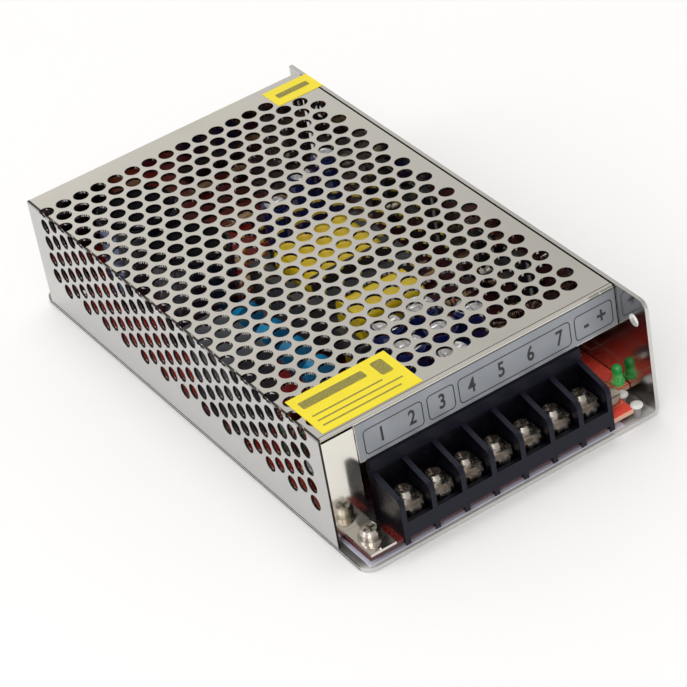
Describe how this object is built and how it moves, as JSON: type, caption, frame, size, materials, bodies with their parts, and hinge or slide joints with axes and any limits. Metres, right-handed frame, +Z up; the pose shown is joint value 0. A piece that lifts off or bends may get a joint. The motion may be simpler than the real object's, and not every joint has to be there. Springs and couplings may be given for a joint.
{
  "type": "enclosed switching power supply",
  "caption": "Flat metal switching power supply: perforated folded cover over an L-shaped base, screw terminals under a front lip, board with windings inside.",
  "frame": {"origin": "centre of the footprint on the underside of the base plate", "axes": "+X towards the full-height side wall, +Y towards the rear, away from the terminals, +Z up; the terminals face -Y"},
  "size_m": [0.0988, 0.178, 0.0382],
  "materials": {
    "plated_steel": "zinc plated",
    "plated_steel_bright": "bright plated",
    "film_lavender": "smooth",
    "board_red": "solder mask",
    "zinc_screw": "zinc plated",
    "nylon_white": "smooth",
    "plastic_black": "moulded",
    "plastic_amber": "moulded",
    "plastic_ivory": "moulded",
    "led_green": "clear tinted",
    "film_silver": "satin film",
    "film_yellow": "film",
    "ferrite": "sintered",
    "tape_yellow": "tape",
    "disc_blue": "dipped",
    "box_slate": "moulded",
    "core_green": "coated",
    "enamel_copper": "enamelled",
    "core_tan": "coated",
    "disc_olive": "dipped",
    "fuse_silver": "nickel plated",
    "brass_clip": "plated",
    "pad_grey": "silicone",
    "resistor_tan": "lacquered",
    "sleeve_navy": "shrink sleeve",
    "sleeve_black": "shrink sleeve"
  },
  "bodies": {
    "case": {"chassis": "plated_steel", "mesh_cover": "plated_steel_bright", "insulating_sheet": "film_lavender", "circuit_board": "board_red", "cover_screws": "zinc_screw", "foot_washer": "zinc_screw", "board_screws": "zinc_screw", "board_standoffs": "zinc_screw", "nylon_posts": "nylon_white", "terminal_block": "plastic_black", "terminal_contacts": "zinc_screw", "trimmer_body": "plastic_amber", "status_led": "led_green", "terminal_label": "film_silver", "yellow_labels": "film_yellow", "transformer_core": "ferrite", "transformer_bobbin": "plastic_black", "transformer_winding": "tape_yellow", "driver_core": "ferrite", "driver_winding": "tape_yellow", "disc_capacitors": "disc_blue", "x_capacitor": "box_slate", "line_choke_core": "core_green", "line_choke_winding": "enamel_copper", "output_choke_core": "core_tan", "output_choke_winding": "enamel_copper", "bridge_rectifier": "plastic_black", "thermistor": "disc_olive", "fuse": "fuse_silver", "fuse_clips": "brass_clip", "power_transistors": "plastic_black", "transistor_pads": "pad_grey", "clamp_bars": "zinc_screw", "clamp_screws": "zinc_screw", "control_chip": "plastic_black", "axial_parts": "resistor_tan", "aux_capacitors": "sleeve_navy", "bulk_capacitor_1": "sleeve_black", "bulk_capacitor_2": "sleeve_black", "output_capacitor_1": "sleeve_navy", "output_capacitor_2": "sleeve_navy", "output_capacitor_3": "sleeve_navy", "output_capacitor_4": "sleeve_navy", "output_capacitor_5": "sleeve_navy", "output_capacitor_6": "sleeve_navy"},
    "trimmer": {"trimmer_rotor": "plastic_ivory"},
    "clamp_1": {"terminal_clamp_1": "zinc_screw"},
    "screw_1": {"terminal_screw_1": "zinc_screw"},
    "clamp_2": {"terminal_clamp_2": "zinc_screw"},
    "screw_2": {"terminal_screw_2": "zinc_screw"},
    "clamp_3": {"terminal_clamp_3": "zinc_screw"},
    "screw_3": {"terminal_screw_3": "zinc_screw"},
    "clamp_4": {"terminal_clamp_4": "zinc_screw"},
    "screw_4": {"terminal_screw_4": "zinc_screw"},
    "clamp_5": {"terminal_clamp_5": "zinc_screw"},
    "screw_5": {"terminal_screw_5": "zinc_screw"},
    "clamp_6": {"terminal_clamp_6": "zinc_screw"},
    "screw_6": {"terminal_screw_6": "zinc_screw"},
    "clamp_7": {"terminal_clamp_7": "zinc_screw"},
    "screw_7": {"terminal_screw_7": "zinc_screw"}
  },
  "joints": [
    {"name": "trimmer_turn", "type": "hinge", "parent": "case", "child": "trimmer", "pos_m": [0.038, -0.083, 0.0087], "axis": [0, -1, 0], "range_deg": [-135, 135]},
    {"name": "clamp_lift_1", "type": "slide", "parent": "case", "child": "clamp_1", "axis": [0, 0, 1], "range_m": [0, 0.0035]},
    {"name": "screw_turn_1", "type": "hinge", "parent": "clamp_1", "child": "screw_1", "pos_m": [-0.0304, -0.0819, 0.013], "axis": [0, 0, 1], "range_deg": [0, 2520]},
    {"name": "clamp_lift_2", "type": "slide", "parent": "case", "child": "clamp_2", "axis": [0, 0, 1], "range_m": [0, 0.0035]},
    {"name": "screw_turn_2", "type": "hinge", "parent": "clamp_2", "child": "screw_2", "pos_m": [-0.0206, -0.0819, 0.013], "axis": [0, 0, 1], "range_deg": [0, 2520]},
    {"name": "clamp_lift_3", "type": "slide", "parent": "case", "child": "clamp_3", "axis": [0, 0, 1], "range_m": [0, 0.0035]},
    {"name": "screw_turn_3", "type": "hinge", "parent": "clamp_3", "child": "screw_3", "pos_m": [-0.0108, -0.0819, 0.013], "axis": [0, 0, 1], "range_deg": [0, 2520]},
    {"name": "clamp_lift_4", "type": "slide", "parent": "case", "child": "clamp_4", "axis": [0, 0, 1], "range_m": [0, 0.0035]},
    {"name": "screw_turn_4", "type": "hinge", "parent": "clamp_4", "child": "screw_4", "pos_m": [-0.001, -0.0819, 0.013], "axis": [0, 0, 1], "range_deg": [0, 2520]},
    {"name": "clamp_lift_5", "type": "slide", "parent": "case", "child": "clamp_5", "axis": [0, 0, 1], "range_m": [0, 0.0035]},
    {"name": "screw_turn_5", "type": "hinge", "parent": "clamp_5", "child": "screw_5", "pos_m": [0.0088, -0.0819, 0.013], "axis": [0, 0, 1], "range_deg": [0, 2520]},
    {"name": "clamp_lift_6", "type": "slide", "parent": "case", "child": "clamp_6", "axis": [0, 0, 1], "range_m": [0, 0.0035]},
    {"name": "screw_turn_6", "type": "hinge", "parent": "clamp_6", "child": "screw_6", "pos_m": [0.0186, -0.0819, 0.013], "axis": [0, 0, 1], "range_deg": [0, 2520]},
    {"name": "clamp_lift_7", "type": "slide", "parent": "case", "child": "clamp_7", "axis": [0, 0, 1], "range_m": [0, 0.0035]},
    {"name": "screw_turn_7", "type": "hinge", "parent": "clamp_7", "child": "screw_7", "pos_m": [0.0284, -0.0819, 0.013], "axis": [0, 0, 1], "range_deg": [0, 2520]}
  ],
  "couplings": [
    {"joint": "screw_turn_1", "follows": "clamp_lift_1", "rad_per_m": 12566},
    {"joint": "screw_turn_2", "follows": "clamp_lift_2", "rad_per_m": 12566},
    {"joint": "screw_turn_3", "follows": "clamp_lift_3", "rad_per_m": 12566},
    {"joint": "screw_turn_4", "follows": "clamp_lift_4", "rad_per_m": 12566},
    {"joint": "screw_turn_5", "follows": "clamp_lift_5", "rad_per_m": 12566},
    {"joint": "screw_turn_6", "follows": "clamp_lift_6", "rad_per_m": 12566},
    {"joint": "screw_turn_7", "follows": "clamp_lift_7", "rad_per_m": 12566}
  ]
}
